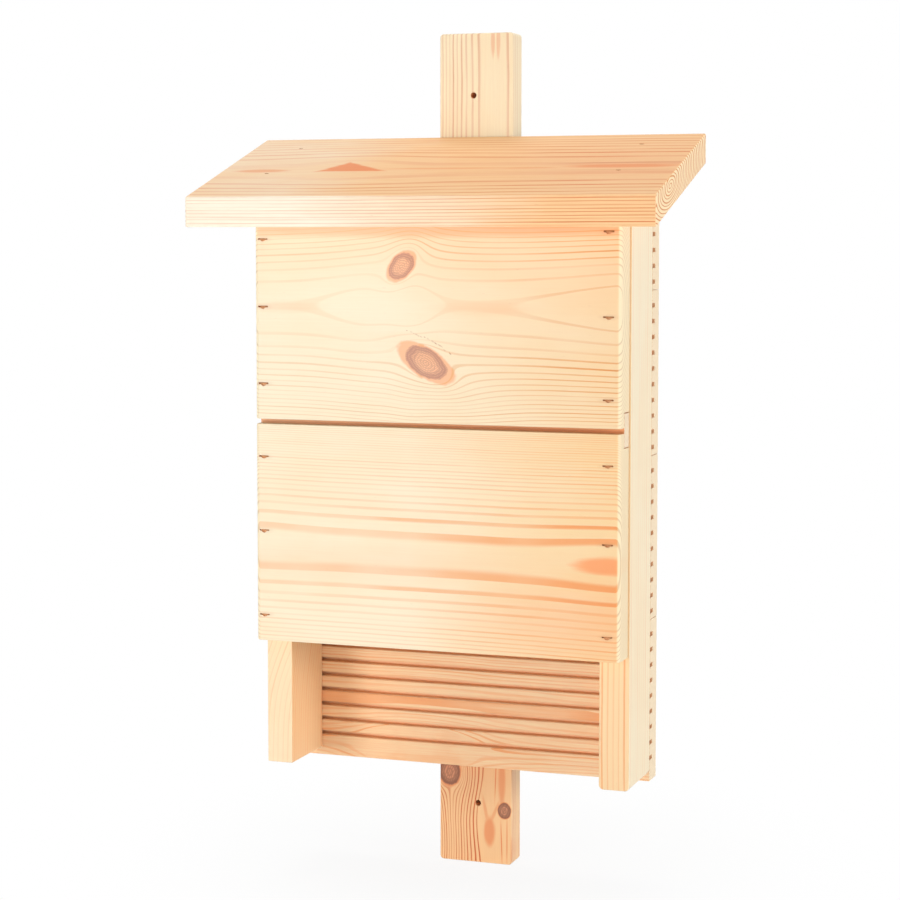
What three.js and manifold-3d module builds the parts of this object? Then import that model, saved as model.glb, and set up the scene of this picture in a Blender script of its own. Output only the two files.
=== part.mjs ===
// A hanging bat box: a grooved back of four boards on a long batten, two side rails,
// a front of two boards with a loose strip behind their gap, and a sloping roof board.
// Millimetres. X runs along the front boards, Y points into the wall and Z up.
// The origin is on the back of the batten, halfway up it, where the box meets the wall.
import * as THREE from "three";
import { mergeVertices } from "three/addons/utils/BufferGeometryUtils.js";
import Module from "manifold-3d";

const wasm = await Module();
wasm.setup();

// Fits: the room between two pieces that meet, and how far a cut runs past the face it opens
const clearance = 0.3;
const overrun = 2;

// Side rails
const boxWidth = 300;
const leftRailThickness = 21.5;
const rightRailThickness = 24;
const railDepth = 62.5;
const leftFootRadius = 1;
const rightFootRadius = 3.5;

// Front boards and the strip behind their gap
const frontThickness = 23;
const frontHeight = 340.8;
const lowerFrontHeight = 172;
const frontGap = 3.7;
const frontSetback = 1.5;
const frontEndRadius = 3.5;
const stripHeight = 26;
const rebateDepth = 13;
const railDrop = 103.1;

// Back boards and their grooves
const backThickness = 20;
const backBoardHeight = 128.7;
const backDrop = 6.5;
const plainLip = 18.6;
const firstGroove = 6.3;
const groovePitch = 12.3;
const grooveWidth = 3.2;
const grooveDepth = 8;
const backBoardCount = 4;

// Hanging batten
const battenLength = 675;
const battenWidth = 62;
const battenThickness = 23;
const battenOffCentre = -1.5;
const battenFoot = 84.5;
const battenCornerRadius = 3;
const hangingHoleDiameter = 5;
const hangingHoleInset = 49.5;
const upperHoleOffCentre = -2.3;
const lowerHoleOffCentre = 2.1;

// Roof board
const roofLength = 371.5;
const roofThickness = 22.5;
const roofOverhang = 48;
const roofOffCentre = 1;
const roofSlope = THREE.MathUtils.degToRad(17.8);

// Staples, all alike, with their crowns set a little below the wood
const crownWidth = 8;
const wireThickness = 1.2;
const stapleLength = 38;
const stapleSet = 1;
const leftStapleInset = 7;
const rightStapleInset = 10;
const roofStapleInset = 7.5;
const roofStapleFront = 58.7;
const roofStapleRear = 126.6;
const backStapleInset = 12;
const lowerLeftStapleShares = [0.12, 0.51, 0.85];
const lowerRightStapleShares = [0.11, 0.515, 0.86];
const upperLeftStapleShares = [0.17, 0.535, 0.855];
const upperRightStapleShares = [0.13, 0.505, 0.89];
const backStapleShares = [0.15, 0.8];

// Screws through the batten, one into each back board
const screwLength = 35;
const screwDiameter = 4;
const screwHeadDiameter = 8;
const screwHeadHeight = 3.4;
const screwPoint = 5;
const screwSet = 0.6;
const screwRiseShare = 0.5;

const arcSegments = 8;
const roundSegments = 24;

// Levels in Z, worked out upwards from the foot of the batten
const battenBottom = -battenLength / 2;
const battenTop = battenBottom + battenLength;
const backBottom = battenBottom + battenFoot;
const railBottom = backBottom + backDrop;
const frontBottom = railBottom + railDrop;
const gapBottom = frontBottom + lowerFrontHeight;
const gapTop = gapBottom + frontGap;
const gapMiddle = (gapBottom + gapTop) / 2;
const roofFoot = frontBottom + frontHeight;

// Levels in Y, worked out forwards from the wall
const battenFront = -battenThickness;
const backRear = battenFront - clearance;
const backFront = backRear - backThickness;
const railRear = backFront - clearance;
const railFront = railRear - railDepth;
const frontRear = railFront - clearance;
const frontFace = frontRear - frontThickness;
const roofFront = frontFace - roofOverhang;
const roofRear = battenFront - clearance;

// Levels in X
const boxLeft = -boxWidth / 2;
const boxRight = boxLeft + boxWidth;
const frontLeft = boxLeft + frontSetback;
const frontRight = boxRight - frontSetback;
const roofLeft = roofOffCentre - roofLength / 2;
const battenLeft = battenOffCentre - battenWidth / 2;

// Height of the roof's underside over a place in Y, and the height of what fits under it
const roofUnderside = (y) => roofFoot + Math.tan(roofSlope) * (y - frontFace);
const underRoof = (y) => roofUnderside(y) - clearance / Math.cos(roofSlope);
const roofTop = (y) => roofUnderside(y) + roofThickness / Math.cos(roofSlope);

// Directions that an outline is drawn in and carried along
const X = new THREE.Vector3(1, 0, 0);
const Y = new THREE.Vector3(0, 1, 0);
const Z = new THREE.Vector3(0, 0, 1);

// Turns a closed geometry into a solid that can be joined and cut
function solidOf(geometry) {
  const bare = geometry.clone();
  bare.deleteAttribute("normal");
  bare.deleteAttribute("uv");
  const merged = mergeVertices(bare);
  return new wasm.Manifold(
    new wasm.Mesh({
      numProp: 3,
      vertProperties: merged.attributes.position.array,
      triVerts: new Uint32Array(merged.index.array),
    }),
  );
}

function geometryOf(solid) {
  const mesh = solid.getMesh();
  const geometry = new THREE.BufferGeometry();
  const corners = new Float32Array(mesh.vertProperties);
  geometry.setAttribute("position", new THREE.BufferAttribute(corners, 3));
  geometry.setIndex(new THREE.BufferAttribute(new Uint32Array(mesh.triVerts), 1));
  return geometry;
}

// An outline in the plane of across and up, carried from one level to another along their normal
function prismGeometry(shape, across, up, from, to) {
  const along = new THREE.Vector3().crossVectors(across, up);
  const geometry = new THREE.ExtrudeGeometry(shape, {
    depth: Math.abs(to - from),
    bevelEnabled: false,
    curveSegments: arcSegments,
  });
  const start = along.dot(new THREE.Vector3(1, 1, 1)) > 0 ? Math.min(from, to) : -Math.max(from, to);
  geometry.translate(0, 0, start);
  return geometry.applyMatrix4(new THREE.Matrix4().makeBasis(across, up, along));
}

// A side outline in Y and Z carried along X, a face outline in X and Z carried along Y,
// and a plan outline in X and Y carried up Z
const alongX = (shape, from, to) => solidOf(prismGeometry(shape, Y, Z, from, to));
const alongY = (shape, from, to) => solidOf(prismGeometry(shape, X, Z, from, to));
const alongZ = (shape, from, to) => solidOf(prismGeometry(shape, X, Y, from, to));

function outline(points) {
  return new THREE.Shape(points.map(([x, y]) => new THREE.Vector2(x, y)));
}

// A rectangle with its own radius at each corner, from the lower left round to the upper left
function roundedRectangle(left, bottom, right, top, radii) {
  const [a, b, c, d] = radii;
  const shape = new THREE.Shape();
  const turn = Math.PI / 2;
  const corner = (x, y, radius, start) => {
    if (radius > 0) shape.absarc(x, y, radius, start, start + turn, false);
    else shape.lineTo(x, y);
  };
  shape.moveTo(left + a, bottom);
  shape.lineTo(right - b, bottom);
  corner(right - b, bottom + b, b, -turn);
  shape.lineTo(right, top - c);
  corner(right - c, top - c, c, 0);
  shape.lineTo(left + d, top);
  corner(left + d, top - d, d, turn);
  shape.lineTo(left, bottom + a);
  corner(left + a, bottom + a, a, 2 * turn);
  return shape;
}

// Finishes
const wood = (name, color, roughness) =>
  new THREE.MeshStandardMaterial({ name, color, roughness, metalness: 0 });
const frontWood = wood("front wood", 0xf6dcb2, 0.6);
const railWood = wood("rail wood", 0xf5dcae, 0.65);
const backWood = wood("back wood", 0xe9b98a, 0.7);
const battenWood = wood("batten wood", 0xe6b98a, 0.7);
const roofWood = wood("roof wood", 0xf0c79c, 0.6);
const steel = new THREE.MeshStandardMaterial({
  name: "fastener steel",
  color: 0x6f675f,
  roughness: 0.45,
  metalness: 1,
});

// A staple in its own frame: the crown lies along X with its back at zero, the legs point along +Y
function stapleShape(spare) {
  const half = crownWidth / 2 + spare;
  const inner = crownWidth / 2 - wireThickness - spare;
  const tip = stapleLength + spare;
  const pointed = tip - wireThickness * 2;
  const shape = outline([
    [-half, -spare],
    [half, -spare],
    [half, pointed],
    [half - wireThickness / 2 - spare, tip],
    [inner, pointed],
    [inner, wireThickness + spare],
    [-inner, wireThickness + spare],
    [-inner, pointed],
    [-half + wireThickness / 2 + spare, tip],
    [-half, pointed],
  ]);
  const thick = wireThickness / 2 + spare;
  return prismGeometry(shape, X, Y, -thick, thick);
}

// The room that a staple takes up in the wood, with the slot that its crown has sunk through
function stapleRoom() {
  const half = crownWidth / 2 + clearance;
  const thick = wireThickness / 2 + clearance;
  const slot = outline([
    [-half, -stapleSet - overrun],
    [half, -stapleSet - overrun],
    [half, wireThickness + clearance],
    [-half, wireThickness + clearance],
  ]);
  return solidOf(stapleShape(clearance)).add(alongZ(slot, -thick, thick));
}

// A countersunk screw in its own frame: the head's face is at zero and the point looks along +Y
function screwShape(spare) {
  const shank = screwDiameter / 2 + spare;
  const head = screwHeadDiameter / 2 + spare;
  const tip = screwLength + spare;
  const profile = [
    [0, -spare],
    [head, -spare],
    [shank, screwHeadHeight + spare],
    [shank, tip - screwPoint],
    [0, tip],
  ].map(([r, y]) => new THREE.Vector2(r, y));
  return new THREE.LatheGeometry(profile, roundSegments);
}

// The room that a screw takes up, open to the face that it went in by
function screwRoom() {
  const head = screwHeadDiameter / 2 + clearance;
  const depth = screwSet + overrun;
  const mouth = new THREE.CylinderGeometry(head, head, depth, roundSegments);
  mouth.translate(0, -depth / 2, 0);
  return solidOf(screwShape(clearance)).add(solidOf(mouth));
}

// Every fastener: its name, its geometry, its place, how it is turned and the room it needs
const fasteners = [];
const staple = { geometry: geometryOf(solidOf(stapleShape(0))), space: geometryOf(stapleRoom()) };
const screw = { geometry: geometryOf(solidOf(screwShape(0))), space: geometryOf(screwRoom()) };
const intoWall = new THREE.Euler(0, 0, 0);
const fromWall = new THREE.Euler(0, 0, Math.PI);
const intoRoof = new THREE.Euler(roofSlope - Math.PI / 2, 0, 0);

function drive(kind, name, place, turn) {
  const holder = new THREE.Object3D();
  holder.position.copy(place);
  holder.rotation.copy(turn);
  holder.updateMatrixWorld(true);
  const room = solidOf(kind.space.clone().applyMatrix4(holder.matrixWorld));
  fasteners.push({ name, geometry: kind.geometry, place, turn, room });
}

// Three staples at each end of each front board
function driveFrontStaples() {
  const left = frontLeft + leftStapleInset;
  const right = frontRight - rightStapleInset;
  const upperHeight = underRoof(frontFace) - gapTop;
  const row = (name, x, bottom, height, shares) =>
    shares.forEach((share, i) => {
      const place = new THREE.Vector3(x, frontFace + stapleSet, bottom + share * height);
      drive(staple, `front_staple_${name}_${i + 1}`, place, intoWall);
    });
  row("lower_left", left, frontBottom, lowerFrontHeight, lowerLeftStapleShares);
  row("lower_right", right, frontBottom, lowerFrontHeight, lowerRightStapleShares);
  row("upper_left", left, gapTop, upperHeight, upperLeftStapleShares);
  row("upper_right", right, gapTop, upperHeight, upperRightStapleShares);
}

// Two staples in the roof board over each side, square to its slope
function driveRoofStaples() {
  const row = (side, x) =>
    [roofStapleFront, roofStapleRear].forEach((reach, i) => {
      const y = roofFront + reach;
      const place = new THREE.Vector3(x, y, roofTop(y));
      place.addScaledVector(Y, stapleSet * Math.sin(roofSlope));
      place.addScaledVector(Z, -stapleSet * Math.cos(roofSlope));
      drive(staple, `roof_staple_${side}_${i + 1}`, place, intoRoof);
    });
  row("left", boxLeft + roofStapleInset);
  row("right", boxRight - roofStapleInset);
}

// Each back board: where it starts, how tall it stands at its front and where its grooves begin
const backBoards = Array.from({ length: backBoardCount }, (_, i) => {
  const bottom = backBottom + i * (backBoardHeight + clearance);
  const last = i === backBoardCount - 1;
  return {
    name: `back_board_${i + 1}`,
    bottom,
    top: last ? underRoof(backFront) : bottom + backBoardHeight,
    rearTop: last ? underRoof(backRear) : bottom + backBoardHeight,
    grooveStart: bottom + (i === 0 ? plainLip : firstGroove),
  };
});

// The middles of a back board's grooves, the last one clear of its top edge
function grooveHeights(board) {
  const heights = [];
  for (let z = board.grooveStart; z + groovePitch / 2 < board.top; z += groovePitch) heights.push(z);
  return heights;
}

// The wood between two grooves that is nearest to a share of the board's height
function landHeight(board, share) {
  const wanted = board.bottom + share * (board.top - board.bottom);
  const steps = Math.round((wanted - board.grooveStart) / groovePitch - 1 / 2);
  return board.grooveStart + groovePitch * (steps + 1 / 2);
}

// Two staples at each end of each back board, and one screw through the batten behind it
function driveBackFasteners() {
  for (const board of backBoards) {
    const row = (side, x) =>
      backStapleShares.forEach((share, i) => {
        const place = new THREE.Vector3(x, backRear - stapleSet, landHeight(board, share));
        drive(staple, `${board.name}_staple_${side}_${i + 1}`, place, fromWall);
      });
    row("left", boxLeft + backStapleInset);
    row("right", boxRight - backStapleInset);
    const place = new THREE.Vector3(battenOffCentre, -screwSet, landHeight(board, screwRiseShare));
    drive(screw, `${board.name}_screw`, place, fromWall);
  }
}

// Cuts the room of every fastener out of a board
const fitted = (board) => fasteners.reduce((left, { room }) => left.subtract(room), board);

// A back board, sawn across its front face into level grooves that run out at both ends
function makeBackBoard(board) {
  const points = [
    [backFront, board.bottom],
    [backRear, board.bottom],
    [backRear, board.rearTop],
    [backFront, board.top],
  ];
  const half = grooveWidth / 2;
  for (const z of grooveHeights(board).reverse()) {
    points.push([backFront, z + half], [backFront + grooveDepth, z + half]);
    points.push([backFront + grooveDepth, z - half], [backFront, z - half]);
  }
  return fitted(alongX(outline(points), boxLeft, boxRight));
}

// A side rail: cut to the roof's slope at its head, the corners of its foot rounded over
function makeRail(left, right, footRadius) {
  const side = outline([
    [railFront, railBottom],
    [railRear, railBottom],
    [railRear, underRoof(railRear)],
    [railFront, underRoof(railFront)],
  ]);
  const head = underRoof(railRear) + overrun;
  const face = roundedRectangle(left, railBottom, right, head, [footRadius, footRadius, 0, 0]);
  const body = alongX(side, left, right).intersect(alongY(face, railFront - overrun, railRear + overrun));
  return fitted(body);
}

// The plan of a front board, with its two outer arrises rounded over
function frontPlan() {
  const radii = [frontEndRadius, frontEndRadius, 0, 0];
  const plan = roundedRectangle(frontLeft, frontFace, frontRight, frontRear, radii);
  return alongZ(plan, frontBottom - overrun, underRoof(frontRear) + overrun);
}

// How far each rebate reaches over its board's edge
const rebateHeight = (stripHeight - frontGap) / 2 + clearance;
const rebateFront = frontRear - rebateDepth;

function makeLowerFront() {
  const side = outline([
    [frontFace, frontBottom],
    [frontRear, frontBottom],
    [frontRear, gapBottom - rebateHeight],
    [rebateFront, gapBottom - rebateHeight],
    [rebateFront, gapBottom],
    [frontFace, gapBottom],
  ]);
  return fitted(alongX(side, frontLeft - overrun, frontRight + overrun).intersect(frontPlan()));
}

function makeUpperFront() {
  const side = outline([
    [frontFace, gapTop],
    [rebateFront, gapTop],
    [rebateFront, gapTop + rebateHeight],
    [frontRear, gapTop + rebateHeight],
    [frontRear, underRoof(frontRear)],
    [frontFace, underRoof(frontFace)],
  ]);
  return fitted(alongX(side, frontLeft - overrun, frontRight + overrun).intersect(frontPlan()));
}

// The loose strip that closes the gap from behind
function makeGapStrip() {
  const half = stripHeight / 2;
  const side = outline([
    [rebateFront + clearance, gapMiddle - half],
    [frontRear, gapMiddle - half],
    [frontRear, gapMiddle + half],
    [rebateFront + clearance, gapMiddle + half],
  ]);
  return fitted(alongX(side, frontLeft, frontRight));
}

// The roof board, its long edges sawn upright
function makeRoof() {
  const side = outline([
    [roofFront, roofUnderside(roofFront)],
    [roofRear, roofUnderside(roofRear)],
    [roofRear, roofTop(roofRear)],
    [roofFront, roofTop(roofFront)],
  ]);
  return fitted(alongX(side, roofLeft, roofLeft + roofLength));
}

// A round hole through the batten
function hangingHole(offCentre, z) {
  const radius = hangingHoleDiameter / 2;
  const hole = new THREE.CylinderGeometry(radius, radius, battenThickness + 2 * overrun, roundSegments);
  hole.translate(battenOffCentre + offCentre, -battenThickness / 2, z);
  return solidOf(hole);
}

// The hanging batten, its end corners eased, with one hole near each end
function makeBatten() {
  const radii = [battenCornerRadius, battenCornerRadius, battenCornerRadius, battenCornerRadius];
  const face = roundedRectangle(battenLeft, battenBottom, battenLeft + battenWidth, battenTop, radii);
  const body = alongY(face, battenFront, 0)
    .subtract(hangingHole(upperHoleOffCentre, battenTop - hangingHoleInset))
    .subtract(hangingHole(lowerHoleOffCentre, battenBottom + hangingHoleInset));
  return fitted(body);
}

// A board as a mesh whose own origin is at a corner of the board
function boardMesh(name, solid, material, corner) {
  const geometry = geometryOf(solid);
  geometry.translate(-corner.x, -corner.y, -corner.z);
  geometry.computeVertexNormals();
  const mesh = new THREE.Mesh(geometry, material);
  mesh.name = name;
  mesh.position.copy(corner);
  return mesh;
}

function fastenerMesh({ name, geometry, place, turn }) {
  const mesh = new THREE.Mesh(geometry, steel);
  mesh.name = name;
  mesh.position.copy(place);
  mesh.rotation.copy(turn);
  return mesh;
}

const groupOf = (...meshes) => new THREE.Group().add(...meshes);
const at = (x, y, z) => new THREE.Vector3(x, y, z);

driveFrontStaples();
driveRoofStaples();
driveBackFasteners();

const leftRailInside = boxLeft + leftRailThickness;
const rightRailInside = boxRight - rightRailThickness;

const hanger = groupOf(
  boardMesh("hanging_batten", makeBatten(), battenWood, at(battenOffCentre, 0, battenBottom)),
);
const back = groupOf(
  ...backBoards.map((board) =>
    boardMesh(board.name, makeBackBoard(board), backWood, at(boxLeft, backRear, board.bottom)),
  ),
);
const leftRail = makeRail(boxLeft, leftRailInside, leftFootRadius);
const rightRail = makeRail(rightRailInside, boxRight, rightFootRadius);
const sides = groupOf(
  boardMesh("rail_left", leftRail, railWood, at(boxLeft, railRear, railBottom)),
  boardMesh("rail_right", rightRail, railWood, at(boxRight, railRear, railBottom)),
);
const front = groupOf(
  boardMesh("front_board_lower", makeLowerFront(), frontWood, at(frontLeft, frontRear, frontBottom)),
  boardMesh("front_board_upper", makeUpperFront(), frontWood, at(frontLeft, frontRear, gapTop)),
  boardMesh("gap_strip", makeGapStrip(), railWood, at(frontLeft, frontRear, gapMiddle)),
);
const roof = groupOf(
  boardMesh("roof_board", makeRoof(), roofWood, at(roofLeft, roofRear, roofUnderside(roofRear))),
);
const fixings = groupOf(...fasteners.map(fastenerMesh));

export default groupOf(hanger, back, sides, front, roof, fixings);
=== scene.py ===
import math
import random

import bmesh
import bpy
from mathutils import Matrix, Vector


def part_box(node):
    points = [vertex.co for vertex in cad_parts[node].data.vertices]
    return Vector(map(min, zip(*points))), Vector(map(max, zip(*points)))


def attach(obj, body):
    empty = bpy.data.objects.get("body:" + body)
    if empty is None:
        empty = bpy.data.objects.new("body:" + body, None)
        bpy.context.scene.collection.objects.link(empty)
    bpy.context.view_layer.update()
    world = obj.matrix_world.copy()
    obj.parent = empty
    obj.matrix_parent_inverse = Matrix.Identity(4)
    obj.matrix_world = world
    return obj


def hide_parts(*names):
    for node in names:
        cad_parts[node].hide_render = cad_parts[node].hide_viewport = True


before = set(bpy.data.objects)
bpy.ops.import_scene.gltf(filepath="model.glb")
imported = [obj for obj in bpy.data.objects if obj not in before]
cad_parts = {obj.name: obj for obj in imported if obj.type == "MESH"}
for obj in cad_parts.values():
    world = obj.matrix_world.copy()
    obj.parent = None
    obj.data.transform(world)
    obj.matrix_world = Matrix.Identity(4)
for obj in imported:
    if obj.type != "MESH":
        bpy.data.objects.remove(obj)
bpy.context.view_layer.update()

MM = 0.001
NEAR = 0.1 * MM
QUARTER_TURN = math.pi / 2
ROOF_SLOPE = math.radians(17.8)
BACK_NODES = ["back_board_1", "back_board_2", "back_board_3", "back_board_4"]

# Shapes of the boards
FRONT_END_RADIUS = 3.5 * MM
REBATE_DEPTH = 13 * MM
REBATE_HEIGHT = 11.45 * MM
PLAIN_LIP = 18.6 * MM
FIRST_GROOVE = 6.3 * MM
GROOVE_PITCH = 12.3 * MM
GROOVE_WIDTH = 3.2 * MM
GROOVE_WEAR = 0.8 * MM
GROOVE_DEPTH = 8 * MM
BATTEN_CORNER = 3 * MM
HOLE_DIAMETER = 5 * MM
HOLE_OVERRUN = 2 * MM
HOLE_PLACES = [(-3.8 * MM, 288 * MM), (0.6 * MM, -288 * MM)]
LEFT_FOOT_RADIUS = 1 * MM
RIGHT_FOOT_RADIUS = 3.5 * MM
CORNER_STEPS = 4

# How far the boards' arrises are eased, and which edges count as sharp
SHARP_ARRIS = math.radians(35)
SHARP_SHADING = math.radians(40)
FRONT_ARRIS = 0.9 * MM
RAIL_ARRIS = 1.0 * MM
BACK_ARRIS = 0.4 * MM
STRIP_ARRIS = 0.6 * MM
ROOF_ARRIS = 1.3 * MM
BATTEN_ARRIS = 1.1 * MM

# What the staples' crowns crush and tear, as outlines in millimetres
SLOT = [(-4.3, 0.2), (-4.0, 0.7), (4.0, 0.75), (4.3, 0.2), (4.2, -0.5), (-4.1, -0.6)]
TEAR = [(-2.4, 0.0), (2.2, 0.0), (1.7, -1.4), (0.4, -2.1), (-1.2, -1.8), (-2.1, -1.2)]
SLOT_DEPTH = 1.6 * MM
TEAR_DEPTH = 0.5 * MM
SLOT_OVERRUN = 1.6 * MM
SLOT_TAPER = (0.93, 1, 0.8)
CLOSED_SLOT = 0.45

# Staples
WIRE = 1.2 * MM
CROWN_WIDTH = 8 * MM
STAPLE_LENGTH = 38 * MM
CROWN_BEND = 1.3 * MM
TIP_LENGTH = 2 * WIRE
TIP_WIDTH = 0.35
TIP_THICKNESS = 0.8

# Screws, in millimetres as their outlines are
SCREW_LENGTH = 35
SCREW_SHANK = 4
SCREW_HEAD = 8
HEAD_HEIGHT = 3.4
HEAD_RIM = 0.5
HEAD_EASE = 0.3
SCREW_POINT = 5
PLAIN_SHANK = 2
THREAD_PITCH = 1.8
THREAD_CORE = 0.78
SCREW_SEAT = [(0, -2.6), (4.3, -2.6), (4.3, 0.1), (2.3, 3.7), (0, 3.7)]

# The cross that a driver fits, in metres again
CROSS_WIDTH = 4.4 * MM
CROSS_ARM = 0.9 * MM
CROSS_TAPER = (0.4, 1, 0.7)

# Camera and light
CAMERA_PLACE = (0.5784, -1.7226, 0.1769)
CAMERA_PITCH = math.radians(4.156)
CAMERA_YAW = math.radians(19.512)
CAMERA_LENS = 88.99
CAMERA_SHIFT = -0.06
CAMERA_SENSOR = 36
FLOOR_REACH = 8.0
ROOM_LIGHT = 0.27
LIT_SPOT = Vector((0, -0.08, 0))
SOFTBOXES = [
    ("left softbox", (-1.0, -1.8, 0.02), 0.6, 0.6, 11.0),
    ("low softbox", (-0.3, -1.6, -0.25), 1.4, 0.15, 5.2),
    ("right softbox", (4.0, -1.15, 0.35), 1.25, 1.25, 82),
    ("top softbox", (-0.2, 0.15, 2.4), 1.4, 1.4, 32),
]

chance = random.Random(7)


# Meshes

def only(kind, parts):
    return [part for part in parts if isinstance(part, kind)]


def add_solid(bm, outline, axis, low, high):
    """A solid with one outline all the way from low to high on an axis. The outline's
    points give the values on the two other axes."""
    corners = []
    for first, second in outline:
        place = [first, second]
        place.insert(axis, low)
        corners.append(bm.verts.new(place))
    grown = bmesh.ops.extrude_face_region(bm, geom=[bm.faces.new(corners)])
    step = Vector((0, 0, 0))
    step[axis] = high - low
    bmesh.ops.translate(bm, verts=only(bmesh.types.BMVert, grown["geom"]), vec=step)
    bmesh.ops.recalc_face_normals(bm, faces=bm.faces)


def place_new(bm, before, place):
    """Puts what was added to a mesh in its place."""
    fresh = [vert for vert in bm.verts if vert not in before]
    bmesh.ops.transform(bm, matrix=place, verts=fresh)


def round_over(bm, edges, radius, segments=CORNER_STEPS):
    bmesh.ops.bevel(
        bm, geom=edges, offset=radius, offset_type="OFFSET", affect="EDGES", segments=segments,
        profile=0.5, material=-1, clamp_overlap=True,
    )


def ease_arrises(bm, radius, segments=2, deepest=math.inf):
    """Takes the sharpness off every outer edge that lies in front of the deepest Y."""
    edges = []
    for edge in bm.edges:
        in_front = min(vert.co.y for vert in edge.verts) < deepest
        if in_front and edge.is_convex and edge.calc_face_angle(0) > SHARP_ARRIS:
            edges.append(edge)
    round_over(bm, edges, radius, segments)


def edges_along(bm, axis, wanted):
    """The edges that run along an axis and whose middle is wanted."""
    found = []
    for edge in bm.edges:
        start, end = (vert.co for vert in edge.verts)
        run = (end - start).normalized()
        if abs(run[axis]) > 0.999 and wanted((start + end) / 2):
            found.append(edge)
    return found


def mesh_from(bm, name, *materials):
    bmesh.ops.recalc_face_normals(bm, faces=bm.faces)
    mesh = bpy.data.meshes.new(name)
    bm.to_mesh(mesh)
    bm.free()
    for material in materials:
        mesh.materials.append(material)
    return mesh


def show(name, mesh):
    piece = bpy.data.objects.new(name, mesh)
    bpy.context.scene.collection.objects.link(piece)
    return piece


def cut_away(piece, cutter_mesh):
    """Cuts a mesh out of a piece; the walls of the cut take the cutter's finish."""
    cutter = show("cutter", cutter_mesh)
    cut = piece.modifiers.new("cut", "BOOLEAN")
    cut.operation = "DIFFERENCE"
    cut.solver = "EXACT"
    cut.material_mode = "TRANSFER"
    cut.object = cutter
    bpy.context.view_layer.update()
    graph = bpy.context.evaluated_depsgraph_get()
    whole = piece.data
    piece.data = bpy.data.meshes.new_from_object(piece.evaluated_get(graph))
    piece.modifiers.clear()
    if not piece.data.polygons:
        raise RuntimeError(f"the cut left nothing of {piece.name}")
    bpy.data.meshes.remove(whole)
    bpy.data.objects.remove(cutter)
    bpy.data.meshes.remove(cutter_mesh)


def finish_piece(piece, node):
    """Smooth shading over the eased edges, and the piece's place on the CAD."""
    piece.data.shade_smooth()
    piece.data.set_sharp_from_angle(angle=SHARP_SHADING)
    even = piece.modifiers.new("even shading", "WEIGHTED_NORMAL")
    even.keep_sharp = True
    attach(piece, "root")
    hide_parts(node)


# Shader wiring

class Wire:
    """A shader value. A sum or product of wires adds the node that works it out."""

    def __init__(self, socket):
        self.socket = socket

    def __add__(self, other):
        return calc("ADD", self, other)

    def __radd__(self, other):
        return calc("ADD", other, self)

    def __sub__(self, other):
        return calc("SUBTRACT", self, other)

    def __rsub__(self, other):
        return calc("SUBTRACT", other, self)

    def __mul__(self, other):
        return calc("MULTIPLY", self, other)

    def __rmul__(self, other):
        return calc("MULTIPLY", other, self)

    def __truediv__(self, other):
        return calc("DIVIDE", self, other)


def wires(sockets):
    return {socket.name: Wire(socket) for socket in sockets}


def new_material(name):
    """A material, its surface and its texture coordinates."""
    material = bpy.data.materials.new(name)
    material.use_nodes = True
    nodes = material.node_tree.nodes
    where = wires(nodes.new("ShaderNodeTexCoord").outputs)
    return material, nodes["Principled BSDF"], where


def tint(code):
    """A colour as written in a picture, from its six hexadecimal digits."""
    parts = []
    for start in (0, 2, 4):
        value = int(code[start:start + 2], 16) / 255
        parts.append(value / 12.92 if value <= 0.04045 else ((value + 0.055) / 1.055) ** 2.4)
    return (*parts, 1.0)


def feed(socket, value):
    """Links a wire to a socket, or sets the socket to a plain value."""
    if isinstance(value, Wire):
        socket.id_data.links.new(value.socket, socket)
    else:
        socket.default_value = value


def nodes_beside(values):
    """The nodes of the tree that the wires among some values belong to."""
    return next(value.socket.id_data.nodes for value in values if isinstance(value, Wire))


def add_node(kind, *given):
    """A node that takes the given values, at least one of them a wire, in their order."""
    node = nodes_beside(given).new(f"ShaderNode{kind}")
    for socket, value in zip(node.inputs, given):
        feed(socket, value)
    return node


def calc(operation, *values):
    node = add_node("Math", *values)
    node.operation = operation
    return Wire(node.outputs[0])


def vector_calc(operation, *vectors):
    node = add_node("VectorMath", *vectors)
    node.operation = operation
    return Wire(node.outputs[0])


def strongest(masks):
    """The highest of several masks, or none at all."""
    most = masks[0] if masks else 0.0
    for mask in masks[1:]:
        most = calc("MAXIMUM", most, mask)
    return most


def slope(value, low, high, start=0.0, end=1.0):
    """An even slope from start to end as a value goes from low to high."""
    return Wire(add_node("MapRange", value, low, high, start, end).outputs[0])


def step_up(value, low, high, start=0.0, end=1.0):
    """A soft step from start to end as a value goes from low to high."""
    node = add_node("MapRange", value, low, high, start, end)
    node.interpolation_type = "SMOOTHSTEP"
    return Wire(node.outputs[0])


def split(vector):
    return [Wire(socket) for socket in add_node("SeparateXYZ", vector).outputs]


def joined(x, y, z):
    return Wire(add_node("CombineXYZ", x, y, z).outputs[0])


def stretched(vector, *shares):
    """A place in noise units: the larger a share, the finer the noise that way."""
    return vector_calc("MULTIPLY", vector, shares)


def noise(place, detail=2.0, seed=0.0, roughness=0.5):
    """Noise from 0 to 1 over a place in noise units."""
    node = add_node("TexNoise", place)
    node.noise_dimensions = "4D"
    settings = {"W": seed, "Scale": 1.0, "Detail": detail, "Roughness": roughness}
    for label, value in settings.items():
        feed(node.inputs[label], value)
    return Wire(node.outputs[0])


def centred(value, reach):
    """Noise from 0 to 1 turned into a swing of about reach either way."""
    return (value - 0.5) * (reach * 2.0)


def bell(value, middle, reach):
    """One at the middle, falling to nothing on both sides over about twice the reach."""
    off = (value - middle) / reach
    return calc("EXPONENT", off * off * -1.0)


def mixed(share, first, second, way="MIX"):
    node = add_node("Mix", share)
    node.data_type = "RGBA"
    node.blend_type = way
    feed(node.inputs[6], first)
    feed(node.inputs[7], second)
    return Wire(node.outputs[2])


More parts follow.
